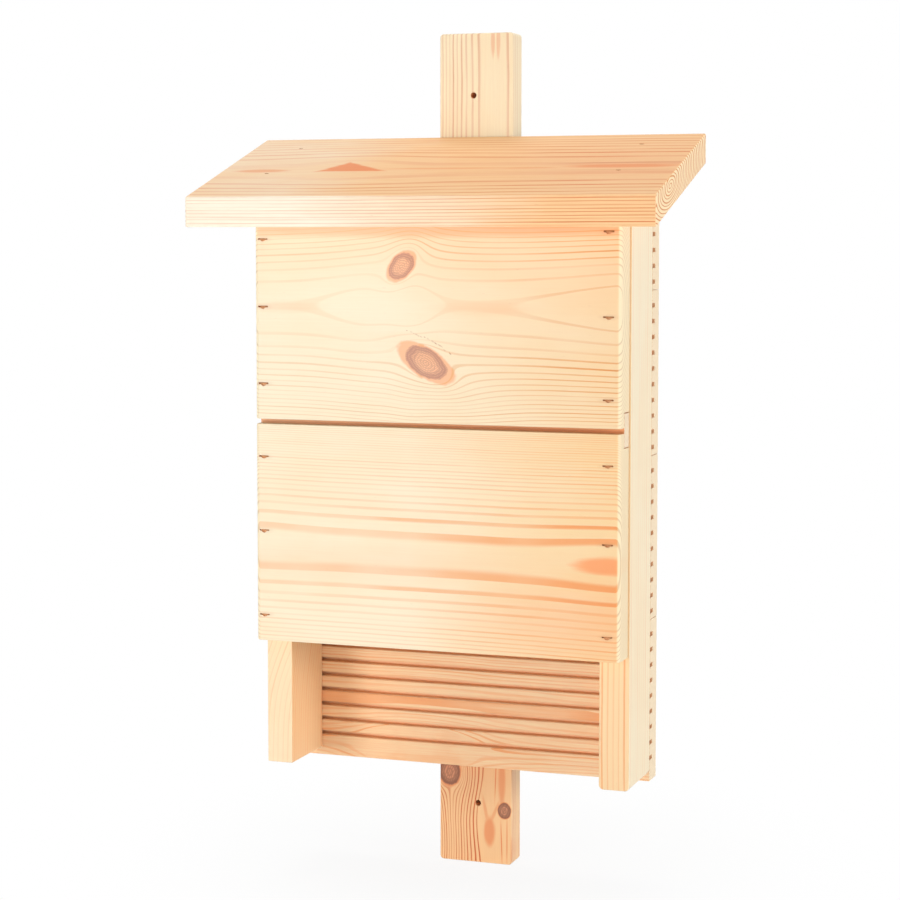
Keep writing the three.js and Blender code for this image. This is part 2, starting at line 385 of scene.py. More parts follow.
def mapped(vector, place=(0, 0, 0), turn=(0, 0, 0), scale=(1, 1, 1)):
    return Wire(add_node("Mapping", vector, place, turn, scale).outputs[0])


def in_millimetres(vector, place=(0, 0, 0), turn=(0, 0, 0)):
    return mapped(vector, place, turn, (1000, 1000, 1000))


def dress(surface, colour, roughness, height, strength, distance):
    """Gives a surface its colour and roughness, and bumps it by a height from 0 to 1."""
    feed(surface.inputs["Base Color"], colour)
    feed(surface.inputs["Roughness"], roughness)
    bump = nodes_beside([height]).new("ShaderNodeBump")
    for label, value in (("Strength", strength), ("Distance", distance), ("Height", height)):
        feed(bump.inputs[label], value)
    feed(surface.inputs["Normal"], Wire(bump.outputs["Normal"]))


KINDS = {"number": "NodeSocketFloat", "vector": "NodeSocketVector", "colour": "NodeSocketColor"}


def new_group(name, inputs, outputs, kind_out="number"):
    """A shader node group: inputs are (name, kind, value) and outputs are names."""
    group = bpy.data.node_groups.new(name, "ShaderNodeTree")
    for label, kind, value in inputs:
        socket = group.interface.new_socket(name=label, in_out="INPUT", socket_type=KINDS[kind])
        socket.default_value = value
    for label in outputs:
        group.interface.new_socket(name=label, in_out="OUTPUT", socket_type=KINDS[kind_out])
    given = wires(group.nodes.new("NodeGroupInput").outputs)
    result = group.nodes.new("NodeGroupOutput").inputs
    return group, given, result


def numbers(**values):
    """Number inputs of a group, each with its value; Ring_Width is named Ring Width."""
    return [(label.replace("_", " "), "number", value) for label, value in values.items()]


def vectors(*labels):
    return [(label, "vector", (0, 0, 0)) for label in labels]


def use_group(group, values):
    node = nodes_beside(values.values()).new("ShaderNodeGroup")
    node.node_tree = group
    for label, value in values.items():
        feed(node.inputs[label], value)
    return wires(node.outputs)


# Shader groups shared by the boards

def make_growth_rings():
    """Growth rings round a pith line. Position is in millimetres: X along the grain,
    Y down into the board from its face and Z across the board."""
    group, given, result = new_group(
        "growth rings",
        vectors("Position") + numbers(
            Bend=0.0, Pith_Across=0.0, Pith_Depth=40.0, Lean_Across=0.0, Lift=0.0, Stretch=1.0,
            Skew=0.0, Ripple=0.6, First_Radius=40.0, Ring_Width=3.0, Tightening=0.0,
            Unevenness=0.5, Waver=1.0, Late_Start=0.6, First_Start=0.6, First_Tone=1.0,
            Later_Tone=1.0, Seed=0.0,
        ),
        ["Late", "Tone"],
    )
    seed = given["Seed"]
    radius = pith_distance(given)
    reach = radius - given["First Radius"]
    uneven = noise(joined(radius * 0.21, 0.0, 0.0), 2.0, seed)
    count = reach / given["Ring Width"] + reach * reach * given["Tightening"]
    count = count + centred(uneven, given["Unevenness"])
    number = calc("FLOOR", count) + seed
    feed(result["Late"], late_wood(given, count))
    feed(result["Tone"], ring_tone(given, count, number))
    return group


def pith_distance(given):
    """How far a place lies from the pith line, which wanders and is bent by knots."""
    along, depth, across = split(given["Position"])
    seed = given["Seed"]
    slow = noise(joined(along * 0.009, 0.0, 0.0), 1.0, seed)
    quick = noise(joined(along * 0.035, 0.0, across * 0.03), 2.0, seed)
    ripple = noise(joined(along * 0.006, 0.0, across * 0.045), 2.0, seed)
    side = across - given["Bend"] - given["Pith Across"] - along * given["Lean Across"]
    side = side + (centred(slow, given["Waver"]) + centred(quick, given["Waver"] * 0.35))
    skewed = slope(side, -6.0, 6.0, given["Skew"] * -1.0, given["Skew"])
    side = side * given["Stretch"] * (skewed + 1.0)
    deep = depth + given["Pith Depth"] + centred(ripple, given["Ripple"]) - given["Lift"]
    return calc("SQRT", side * side + deep * deep)


def late_wood(given, count):
    """The dark part of each ring: it rises slowly and ends sharply where the next begins."""
    phase = calc("FRACT", count)
    start = step_up(count, -0.02, 0.02, given["First Start"], given["Late Start"])
    rise = step_up(phase, start, start * 0.45 + 0.51)
    fall = step_up(phase, 0.95, 1.0, 1.0, 0.0)
    return rise * fall * step_up(count, -1.03, -0.97)


def ring_tone(given, count, number):
    """How strong a ring is, by its place, by its own chance and with breaks along it."""
    along = split(given["Position"])[0]
    fate = nodes_beside([number]).new("ShaderNodeTexWhiteNoise")
    fate.noise_dimensions = "1D"
    feed(fate.inputs["W"], number)
    even = step_up(count, 0.9, 2.3, given["First Tone"], given["Later Tone"])
    own = step_up(Wire(fate.outputs["Value"]), 0.0, 1.0, 0.4, 1.0)
    fading = noise(joined(along * 0.011, 0.0, number * 7.3), 1.0, given["Seed"])
    return even * own * step_up(fading, 0.3, 0.6, 0.55, 1.1)


def tilted_oval(off, tilt, length, width):
    """How far a place lies along and across a tilted oval, as shares of its half sizes."""
    along, _, across = split(off)
    cosine, sine = calc("COSINE", tilt), calc("SINE", tilt)
    return (along * cosine + across * sine) / length, (across * cosine - along * sine) / width


def make_knot():
    """A knot that runs square through the board. Bend is how far the grain is pushed
    aside; Core, Rim and Halo are masks, and Rings are the knot's own rings."""
    group, given, result = new_group(
        "knot",
        vectors("Position", "Centre") + numbers(
            Length=10.0, Width=8.0, Tilt=0.0, Push=1.4, Halo_Length=1.3, Turns=6.5, Seed=0.0,
        ),
        ["Bend", "Core", "Rim", "Halo", "Rings"],
    )
    off = vector_calc("SUBTRACT", given["Position"], given["Centre"])
    first, second = tilted_oval(off, given["Tilt"], given["Length"], given["Width"])
    ragged = noise(stretched(off, 0.16, 0.1, 0.16), 2.0, given["Seed"])
    even = first * first + second * second
    size = calc("SQRT", even) + centred(ragged, 0.16)
    turns = calc("FRACT", size * given["Turns"])
    pull = given["Push"] / calc("MAXIMUM", even, given["Push"])
    feed(result["Bend"], split(off)[2] * pull)
    feed(result["Core"], step_up(size, 0.94, 1.03, 1.0, 0.0))
    outside = step_up(size, 0.94, 1.05, 1.0, 0.0)
    lined = step_up(turns, 0.2, 0.9, 0.74, 1.0)
    feed(result["Rim"], step_up(size, 0.45, 0.78) * outside * lined)
    long_part, wide_part = first / given["Halo Length"], second / 1.1
    halo = calc("SQRT", long_part * long_part + wide_part * wide_part)
    feed(result["Halo"], step_up(halo + centred(ragged, 0.1), 0.93, 1.08, 1.0, 0.0))
    feed(result["Rings"], step_up(turns, 0.4, 0.8))
    return group


def make_patch():
    """A soft patch with ragged ends: a resin flame, a stain round a staple, a pit or a band of
    painted shadow.
    """
    group, given, result = new_group(
        "patch",
        vectors("Position", "Centre") + numbers(
            Length=10.0, Width=4.0, Depth=30.0, Tilt=0.0, Softness=0.3, Raggedness=0.2,
        ),
        ["Mask"],
    )
    off = vector_calc("SUBTRACT", given["Position"], given["Centre"])
    first, second = tilted_oval(off, given["Tilt"], given["Length"], given["Width"])
    third = split(off)[1] / given["Depth"]
    size = calc("SQRT", first * first + second * second + third * third)
    streaks = noise(stretched(given["Position"], 0.05, 0.6, 0.8), 2.0)
    size = size + centred(streaks, given["Raggedness"])
    soft = given["Softness"]
    feed(result["Mask"], step_up(size, 1.0 - soft, soft + 1.0, 1.0, 0.0))
    return group


def make_wedge():
    """A three-cornered flame: a straight foot along the grain and a peak across it."""
    group, given, result = new_group(
        "wedge",
        vectors("Position", "Foot") + numbers(Half_Foot=20.0, Height=20.0, Lean=0.0),
        ["Mask"],
    )
    along, deep, across = split(vector_calc("SUBTRACT", given["Position"], given["Foot"]))
    ragged = noise(stretched(given["Position"], 0.06, 0.2, 0.3), 2.0)
    up = across / given["Height"]
    off_middle = calc("ABSOLUTE", along - up * given["Lean"])
    inside = given["Half Foot"] * (1.0 - up) - off_middle
    off_foot = up * calc("ABSOLUTE", given["Height"])
    inside = calc("MINIMUM", inside * 0.4, off_foot) + centred(ragged, 1.6)
    shallow = step_up(deep, 1.0, 4.0, 1.0, 0.0)
    feed(result["Mask"], step_up(inside, -0.8, 1.6) * shallow)
    return group


def make_fibres():
    """Fine streaks, resin flecks, slow cloudiness and pores along the grain."""
    group, given, result = new_group(
        "wood fibres",
        vectors("Position") + numbers(Seed=0.0),
        ["Fibre", "Fleck", "Cloud", "Pore"],
    )
    place, seed = given["Position"], given["Seed"]
    coarse = noise(stretched(place, 0.012, 0.7, 0.7), 4.0, seed, 0.6)
    fine = noise(stretched(place, 0.06, 3.2, 3.2), 3.0, seed, 0.6)
    specks = noise(stretched(place, 0.14, 1.1, 1.1), 1.0, seed)
    clouds = noise(stretched(place, 0.008, 0.022, 0.022), 3.0, seed)
    feed(result["Fibre"], coarse * 0.6 + fine * 0.4)
    feed(result["Fleck"], step_up(specks, 0.70, 0.80))
    feed(result["Cloud"], step_up(clouds, 0.35, 0.65))
    feed(result["Pore"], noise(stretched(place, 1.3, 1.3, 1.3), 2.0, seed))
    return group


def make_edge_wear_and_highlight():
    """A mask for the arrises of a board, from its distance to the board's edges: partly rubbed wear,
    partly a painted highlight.
    """
    group, given, result = new_group(
        "edge wear and highlight",
        vectors("Position", "Half Size") + numbers(Reach=1.6),
        ["Wear And Highlight"],
    )
    off_middle = vector_calc("ABSOLUTE", given["Position"])
    x, y, z = split(vector_calc("SUBTRACT", given["Half Size"], off_middle))
    lower, higher = calc("MINIMUM", x, y), calc("MAXIMUM", x, y)
    off_edge = calc("MAXIMUM", lower, calc("MINIMUM", higher, z))
    broken = noise(stretched(given["Position"], 0.09, 0.09, 0.09), 3.0)
    reach = given["Reach"] * step_up(broken, 0.25, 0.75, 0.35, 1.5)
    feed(result["Wear And Highlight"], step_up(off_edge, 0.0, reach, 1.0, 0.0))
    return group


def make_wood_tones():
    """The colour of planed pine from its rings, streaks, patches and knots, with painted light and
    shade laid into it.
    """
    colours = ["Early", "Late", "Warm", "Flame", "Stain", "Knot", "Knot Rim"]
    colours += ["Sawn Ground", "Sawn Line"]
    shares = ["Rings", "Tone", "Ring Strength", "Faint Lines", "Streak", "Warmth", "Fibre"]
    shares += ["Fleck", "Wear And Highlight", "Flames And Shade", "Stains", "Core", "Core Rings", "Rim", "Halo"]
    shares += ["Sawn", "Sawn Rings"]
    group, given, result = new_group(
        "wood tones",
        [(label, "colour", (1, 1, 1, 1)) for label in colours]
        + [(label, "number", 0.0) for label in shares],
        ["Colour"],
        "colour",
    )
    early, late, flame, rim = (given[label] for label in ("Early", "Late", "Flame", "Knot Rim"))
    richer = given["Warmth"] * (1.0 - given["Faint Lines"]) + given["Faint Lines"]
    lines = given["Rings"] * given["Tone"] * given["Ring Strength"] * richer
    # Resin flames and painted shadow bands both take the flame colour.
    colour = mixed(given["Flames And Shade"] * 0.85, early, flame)
    colour = mixed(given["Halo"] * 0.75, colour, flame)
    colour = mixed(lines, colour, late)
    colour = mixed(step_up(given["Fibre"], 0.3, 0.7) * given["Streak"], colour, late)
    colour = mixed(given["Fleck"] * 0.2, colour, rim)
    # Lighter arrises: partly rubbed wear, partly a painted highlight.
    colour = mixed(given["Wear And Highlight"] * 0.35, colour, early)
    sawn_lines = given["Rings"] * given["Sawn Rings"]
    sawn = mixed(sawn_lines, given["Sawn Ground"], given["Sawn Line"])
    colour = mixed(given["Sawn"] * 0.9, colour, sawn)
    colour = mixed(given["Stains"], colour, given["Stain"])
    core = mixed(given["Core Rings"] * 0.6, given["Knot"], rim)
    colour = mixed(given["Core"] * 0.9, colour, core)
    colour = mixed(given["Rim"] * 0.85, colour, rim)
    warmth = given["Warmth"] * (1.0 - given["Sawn"] * 0.7)
    feed(result["Colour"], mixed(warmth, colour, given["Warm"], "MULTIPLY"))
    return group


GROWTH_RINGS = make_growth_rings()
KNOT = make_knot()
PATCH = make_patch()
WEDGE = make_wedge()
FIBRES = make_fibres()
EDGE_WEAR_AND_HIGHLIGHT = make_edge_wear_and_highlight()
WOOD_TONES = make_wood_tones()

# How a board's grain lies in the CAD's frame
LEVEL = (0, 0, 0)
UPRIGHT = (0, QUARTER_TURN, 0)
UP_THE_ROOF = (QUARTER_TURN - ROOF_SLOPE, 0, 0)

# What a board's pine looks like where the board says nothing else: colours, strengths
# from 0 on, and places in millimetres of its grain. A fade is where the warmth begins
# and ends along the board and how much of it there is at both; on the fronts and the
# roof it is partly painted light, the fall-off of the light from the left.
PINE = {
    "early": "fdf4dc",
    "late": "ee9a58",
    "warm": "ffe8cf",
    "flame": "fbb488",
    "stain": "b9764e",
    "knot": "f3c6a2",
    "knot_rim": "c48e74",
    "sawn_ground": "fdf1d8",
    "sawn_line": "dcc39c",
    "ring_strength": 0.8,
    "faint_lines": 0.55,
    "streak": 0.07,
    "cloud_warmth": 0.2,
    "fade": (-150, 150, -0.05, 0.95),
    # Painted light and shade: warmth changed on faces that look right (paler where lit, warmer where
    # shaded) and on faces that look up
    "right_face_painted_light": -0.6,
    "top_face_painted_shade": 0.0,
    "lines_on_top": 1.0,
    "rise": 0.0,
    "rings": {},
    "narrowings": [],
    "end_rings": {},
    "sawn_rings": 0.75,
    "sawn_depths": (100, 101),
    # Painted shade: the warmer, darker tint that the saw kerfs take.
    "groove": "ffd0a4",
    "lifts": [],
    "bulges": [],
    "knots": [],
    "flames_and_shade": [],
    "wedges": [],
    "stains": [],
    "seed": 0.0,
}


def patch(along, across, length, width, strength, softness=0.3, tilt=0.0, ragged=0.2, down=30.0):
    """A patch on a board's face: its middle and its half sizes along, across and down."""
    return {
        "Centre": (along, 0.0, across),
        "Length": length,
        "Width": width,
        "Depth": down,
        "Tilt": math.radians(tilt),
        "Softness": softness,
        "Raggedness": ragged,
    }, strength


def knot(along, across, length, width, tilt=0.0, halo=1.3, turns=6.5):
    """A knot: its middle, its half sizes, how long its halo is and how many rings it has."""
    return {
        "Centre": (along, 0.0, across),
        "Length": length,
        "Width": width,
        "Tilt": math.radians(tilt),
        "Halo Length": halo,
        "Turns": turns,
        "Seed": along,
    }


def patch_masks(position, patches):
    made = [(use_group(PATCH, {"Position": position, **values}), share) for values, share in patches]
    return strongest([outputs["Mask"] * share for outputs, share in made])


def knot_parts(position, knots):
    """How far all the knots on a board bend its grain, and their masks."""
    made = [use_group(KNOT, {"Position": position, **values}) for values in knots]
    masks = {}
    for label in ("Core", "Rim", "Halo", "Rings"):
        masks[label] = strongest([outputs[label] for outputs in made])
    return sum(outputs["Bend"] for outputs in made), masks


def board_rings(position, end, look):
    """A board's rings. Bells along it lift the pith line, knots and bulges push the grain
    aside, and the end grain may cut the rings at another place."""
    along = split(position)[0]
    bend, _ = knot_parts(position, look["knots"])
    bulge, _ = knot_parts(position, look["bulges"])
    lifts = [bell(along, middle, reach) * height for height, middle, reach in look["lifts"]]
    values = {
        "Position": position,
        "Bend": bend + bulge,
        "Lift": sum(lifts),
        "Seed": look["seed"],
        **look["rings"],
    }
    for middle, reach, change in look["narrowings"]:
        values["Ring Width"] += bell(along, middle, reach) * change
    for label, change in look["end_rings"].items():
        values[label] = end * change + values[label]
    return use_group(GROWTH_RINGS, values)


def edge_wear_and_highlight(where, node, rise):
    """The wear and painted highlight along the edges of a board that climbs by a rise from front to
    back.
    """
    low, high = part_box(node)
    half = (high - low) / 2 / MM
    half.z -= rise * half.y
    x, y, z = split(in_millimetres(where["Object"], (low + high) / -2 / MM))
    in_board = joined(x, y, z - y * rise)
    return use_group(EDGE_WEAR_AND_HIGHLIGHT, {"Position": in_board, "Half Size": half})["Wear And Highlight"]


def sawn_places(where, position, turn, look):
    """Masks for the sawn ends, for ends and kerfs together and for the kerfs alone."""
    endwise = split(mapped(where["Normal"], turn=turn))[0]
    end = step_up(calc("ABSOLUTE", endwise), 0.12, 0.55)
    depth = split(position)[1]
    shallowest, deepest = look["sawn_depths"]
    opened = step_up(depth, shallowest, shallowest + 1)
    kerfs = opened * step_up(depth, deepest, deepest + 1, 1.0, 0.0) * (1.0 - end)
    return end, calc("MAXIMUM", end, kerfs), kerfs


def warmth_and_painted_light(where, position, cloud, look):
    """How warm the wood is: along the board, partly as a painted fall-off of the light, in clouds,
    and as painted light and shade on faces that look right or up.
    """
    rightward, _, upward = split(where["Normal"])
    warmth = slope(split(position)[0], *look["fade"]) + cloud * look["cloud_warmth"]
    # Painted light and shade: faces that look right turn paler or warmer, faces that look up turn
    # warmer.
    warmth += step_up(rightward, 0.3, 0.9, 0.0, look["right_face_painted_light"])
    warmth += step_up(upward, 0.5, 0.9, 0.0, look["top_face_painted_shade"])
    return calc("MAXIMUM", warmth, 0.0)


def pine(name, node, turn, origin=None, **changes):
    """The pine of the board at a node. Turn and origin set how its grain lies. Without an
    origin the grain's depth is counted from the board's front face."""
    look = {**PINE, **changes}
    material, surface, where = new_material(name)
    position = in_millimetres(where["Object"], origin or (0, -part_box(node)[0].y / MM, 0), turn)
    end, sawn, kerfs = sawn_places(where, position, turn, look)
    rings = board_rings(position, end, look)
    _, knots = knot_parts(position, look["knots"])
    fibres = use_group(FIBRES, {"Position": position, "Seed": look["seed"]})
    flames_and_shade = [patch_masks(position, look["flames_and_shade"])]
    flames_and_shade += [use_group(WEDGE, {"Position": position, **wedge})["Mask"] for wedge in look["wedges"]]
    strength = look["ring_strength"]
    upward = split(where["Normal"])[2]
    plain_tones = ("early", "late", "warm", "flame", "stain", "knot", "knot_rim")
    colour = use_group(WOOD_TONES, {
        **{tone.replace("_", " ").title(): tint(look[tone]) for tone in plain_tones},
        "Rings": rings["Late"],
        "Tone": rings["Tone"],
        "Ring Strength": step_up(upward, 0.5, 0.9, strength, strength * look["lines_on_top"]),
        "Faint Lines": look["faint_lines"],
        "Streak": look["streak"],
        "Warmth": warmth_and_painted_light(where, position, fibres["Cloud"], look),
        "Fibre": fibres["Fibre"],
        "Fleck": fibres["Fleck"],
        "Wear And Highlight": edge_wear_and_highlight(where, node, look["rise"]),
        "Flames And Shade": strongest(flames_and_shade),
        "Stains": patch_masks(position, look["stains"]),
        "Core": knots["Core"],
        "Core Rings": knots["Rings"],
        "Rim": knots["Rim"],
        "Halo": knots["Halo"],
        "Sawn": sawn,
        # The kerfs take the groove colour as painted shade inside them.
        "Sawn Ground": mixed(kerfs, tint(look["sawn_ground"]), tint(look["groove"])),
        "Sawn Line": mixed(kerfs, tint(look["sawn_line"]), tint(look["groove"])),
        "Sawn Rings": look["sawn_rings"],
    })["Colour"]
    roughness = fibres["Fibre"] * 0.22 + rings["Late"] * -0.08 + 0.5
    height = rings["Late"] * 0.25 + (fibres["Fibre"] * 0.6 + fibres["Pore"] * 0.15)
    dress(surface, colour, roughness, height, 0.25, 0.3 * MM)
    surface.inputs["Specular IOR Level"].default_value = 0.3
    return material


def broken_wood(name, dark, light):
    """Torn or crushed fibres inside a cut."""
    material, surface, where = new_material(name)
    torn = noise(stretched(in_millimetres(where["Object"]), 0.5, 1.1, 1.4), 4.0, 0.0, 0.7)
    colour = mixed(step_up(torn, 0.3, 0.7), tint(dark), tint(light))
    dress(surface, colour, step_up(torn, 0.2, 0.8, 0.7, 0.95), torn, 0.8, 0.5 * MM)
    return material


def bright_steel(name, ground, dull, metal):
    """Plated steel, rubbed and a little dulled; staples also keep their resin coat."""
    material, surface, where = new_material(name)
    scuffs = noise(stretched(in_millimetres(where["Object"]), 2.5, 0.7, 2.5), 4.0, 0.0, 0.65)
    colour = mixed(step_up(scuffs, 0.35, 0.7), tint(ground), tint(dull))
    dress(surface, colour, step_up(scuffs, 0.3, 0.75, 0.28, 0.5), scuffs, 0.3, 0.1 * MM)
    surface.inputs["Metallic"].default_value = metal
    return material


CRUSHED = broken_wood("crushed wood", "b0683a", "dc9f6c")
TORN = broken_wood("torn wood", "e09c6a", "f8c898")
STAPLE_STEEL = bright_steel("staple steel", "dba06c", "a86a3c", 0.3)
SCREW_STEEL = bright_steel("screw steel", "cfc7b4", "9a8f78", 1.0)


# Where the fasteners sit

def staple_names(start, count):
    return [f"{start}_{side}_{n}" for side in ("left", "right") for n in range(1, count + 1)]


def driven_in(nodes, from_behind=False):
    """Each fastener's node and the place of its head, turned from pointing along +Y."""
    fasteners = []
    turned = Matrix.Rotation(math.pi if from_behind else 0.0, 4, "Z")
    for node in nodes:
        low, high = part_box(node)
        middle = (low + high) / 2
        middle.y = high.y if from_behind else low.y
        fasteners.append((node, Matrix.Translation(middle) @ turned))
    return fasteners


def roof_staples():
    """The same for the roof's staples, which are driven in square to its slope."""
    staples = []
    turned = Matrix.Rotation(ROOF_SLOPE - QUARTER_TURN, 4, "X")
    for node in staple_names("roof_staple", 2):
        low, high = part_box(node)
        y = low.y + WIRE / 2 * math.cos(ROOF_SLOPE)
        z = high.z - WIRE / 2 * math.sin(ROOF_SLOPE)
        staples.append((node, Matrix.Translation(((low.x + high.x) / 2, y, z)) @ turned))
    return staples


def staple_stains(staples):
    """A reddish stain in the face of a board round each of its staples."""
    stains = []
    for _, place in staples:
        spot = place.translation / MM
        stains.append(patch(spot.x, spot.z, 6.5, 2.1, 0.14, softness=0.6, ragged=0.35, down=6.0))
    return stains


# Boards

def climb(low, high):
    """How much the roof's slope climbs from the front to the back of a box."""
    return math.tan(ROOF_SLOPE) * (high.y - low.y)


def plain_outline(low, high, front_top):
    """A board's section from the front foot on, with its own height at the front."""
    return [(low.y, low.z), (high.y, low.z), (high.y, high.z), (low.y, front_top)]


def board_along_x(outline, low, high):
    bm = bmesh.new()
    add_solid(bm, outline, 0, low.x, high.x)
    return bm


def staple_recesses(staples, outline, depth, finish):
    """What the staples' crowns have broken, one cut at each staple."""
    bm = bmesh.new()
    for number, (_, place) in enumerate(staples):
        side = 1 if number % 2 else -1
        grow = chance.uniform(0.85, 1.15)
        before = set(bm.verts)
        add_solid(bm, [(x * side * MM, z * grow * MM) for x, z in outline], 1, -SLOT_OVERRUN, depth)
        floor = [vert for vert in bm.verts if vert not in before and vert.co.y > 0]
        bmesh.ops.scale(bm, vec=SLOT_TAPER, verts=floor)
        place_new(bm, before, place)
    return mesh_from(bm, "staple recesses", finish)


def sink_staples(piece, staples, width=1.0):
    """A slot for each crown and shallow torn fibres below it. Where soft wood has closed
    over the crowns again the width is below one."""
    slot = [(x * width, z) for x, z in SLOT]
    tear = [(x * width, z * width) for x, z in TEAR]
    cut_away(piece, staple_recesses(staples, slot, SLOT_DEPTH, CRUSHED))
    cut_away(piece, staple_recesses(staples, tear, TEAR_DEPTH, TORN))


def show_board(bm, name, node, look, staples=(), width=1.0):
    """Shows a board with its staples' slots, in the place of its node."""
    piece = show(name, mesh_from(bm, name, look))
    if staples:
        sink_staples(piece, staples, width)
    finish_piece(piece, node)


def make_front_board(name, node, look, staples, upper):
    low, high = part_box(node)
    rear_shelf = high.y - REBATE_DEPTH
    if upper:
        shelf = low.z + REBATE_HEIGHT
        outline = [(low.y, low.z), (rear_shelf, low.z), (rear_shelf, shelf), (high.y, shelf),
                   (high.y, high.z), (low.y, high.z - climb(low, high))]
    else:
        shelf = high.z - REBATE_HEIGHT
        outline = [(low.y, low.z), (high.y, low.z), (high.y, shelf), (rear_shelf, shelf),
                   (rear_shelf, high.z), (low.y, high.z)]
    bm = board_along_x(outline, low, high)
    round_over(bm, edges_along(bm, 2, lambda spot: spot.y < low.y + NEAR), FRONT_END_RADIUS)
    ease_arrises(bm, FRONT_ARRIS, deepest=high.y - NEAR)
    show_board(bm, name, node, look, staples)


def make_side_rail(name, node, look, foot_radius):
    low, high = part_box(node)
    outline = plain_outline(low, high, high.z - climb(low, high))
    bm = board_along_x(outline, low, high)
    round_over(bm, edges_along(bm, 1, lambda spot: spot.z < low.z + NEAR), foot_radius)
    ease_arrises(bm, RAIL_ARRIS)
    show_board(bm, name, node, look)


def groove_outline(face, middle):
    """One saw kerf from its upper lip to its lower lip, which is worn off."""
    upper, lower = middle + GROOVE_WIDTH / 2, middle - GROOVE_WIDTH / 2
    floor = face + GROOVE_DEPTH
    return [(face, upper), (floor, upper), (floor, lower),
            (face + GROOVE_WEAR, lower), (face, lower - GROOVE_WEAR)]


def make_back_board(name, node, look, staples):
    low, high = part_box(node)
    top = high.z - climb(low, high) if node == BACK_NODES[-1] else high.z
    groove = low.z + (PLAIN_LIP if node == BACK_NODES[0] else FIRST_GROOVE)
    grooves = []
    while groove + GROOVE_PITCH / 2 < top:
        grooves.append(groove)
        groove += GROOVE_PITCH
    outline = plain_outline(low, high, top)
    for middle in reversed(grooves):
        outline += groove_outline(low.y, middle)
    bm = board_along_x(outline, low, high)
    ease_arrises(bm, BACK_ARRIS)
    show_board(bm, name, node, look, staples)


def make_closing_strip(name, node, look):
    low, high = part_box(node)
    bm = board_along_x(plain_outline(low, high, high.z), low, high)
    ease_arrises(bm, STRIP_ARRIS)
    show_board(bm, name, node, look)


def make_roof(name, node, look, staples):
    low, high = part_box(node)
    rise = climb(low, high)
    outline = [(low.y, low.z), (high.y, low.z + rise), (high.y, high.z), (low.y, high.z - rise)]
    bm = board_along_x(outline, low, high)
    ease_arrises(bm, ROOF_ARRIS, 3)
    show_board(bm, name, node, look, staples, CLOSED_SLOT)


def spun_profile(bm, profile, steps=32):
    """A closed shell from a profile of radius and height in millimetres, spun round Y."""
    corners = [bm.verts.new((r * MM, y * MM, 0)) for r, y in profile]
    rims = [bm.edges.new(pair) for pair in zip(corners, corners[1:])]
    bmesh.ops.spin(
        bm, geom=corners + rims, cent=(0, 0, 0), axis=(0, 1, 0), angle=2 * math.pi, steps=steps,
        use_merge=True,
    )
    bmesh.ops.remove_doubles(bm, verts=bm.verts, dist=1e-7)


def add_screw_seats(bm, screws):
    """The countersunk seats that the screws' heads lie in."""
    for _, place in screws:
        before = set(bm.verts)
        spun_profile(bm, SCREW_SEAT)
        place_new(bm, before, place)


def add_hanging_holes(bm, front, rear):
    for x, z in HOLE_PLACES:
        lay = Matrix.Translation((x, (front + rear) / 2, z)) @ Matrix.Rotation(QUARTER_TURN, 4, "X")
        bmesh.ops.create_cone(
            bm, cap_ends=True, segments=32, radius1=HOLE_DIAMETER / 2,
            radius2=HOLE_DIAMETER / 2, depth=rear - front + 2 * HOLE_OVERRUN, matrix=lay,
        )


def make_batten(name, node, look, screws):
    low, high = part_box(node)
    outline = [(low.x, low.z), (high.x, low.z), (high.x, high.z), (low.x, high.z)]
    bm = bmesh.new()
    add_solid(bm, outline, 1, low.y, high.y)
    round_over(bm, edges_along(bm, 1, lambda spot: True), BATTEN_CORNER)
    ease_arrises(bm, BATTEN_ARRIS)
    piece = show(name, mesh_from(bm, name, look))
    holes = bmesh.new()
    add_hanging_holes(holes, low.y, high.y)
    add_screw_seats(holes, screws)
    cut_away(piece, mesh_from(holes, "holes", TORN))
    finish_piece(piece, node)


# Fasteners

def draw_on(bm, edges, step):
    """Carries an open ring of edges on by a step."""
    grown = bmesh.ops.extrude_edge_only(bm, edges=edges)["geom"]
    bmesh.ops.translate(bm, verts=only(bmesh.types.BMVert, grown), vec=step)
    return only(bmesh.types.BMEdge, grown)


def bend_on(bm, edges, centre):
    """Carries an open ring of edges round a quarter turn in the plane of X and Y."""
    turned = bmesh.ops.spin(
        bm, geom=edges, cent=centre, axis=(0, 0, 1), angle=QUARTER_TURN, steps=5,
        use_merge=False,
    )
    return only(bmesh.types.BMEdge, turned["geom_last"])


def scale_leg(bm, verts, x, width, thickness):
    """Widens or narrows a staple's leg at a given X."""
    about = Matrix.Translation((-x, 0, 0))
    bmesh.ops.scale(bm, vec=(width, 1, thickness), space=about, verts=verts)


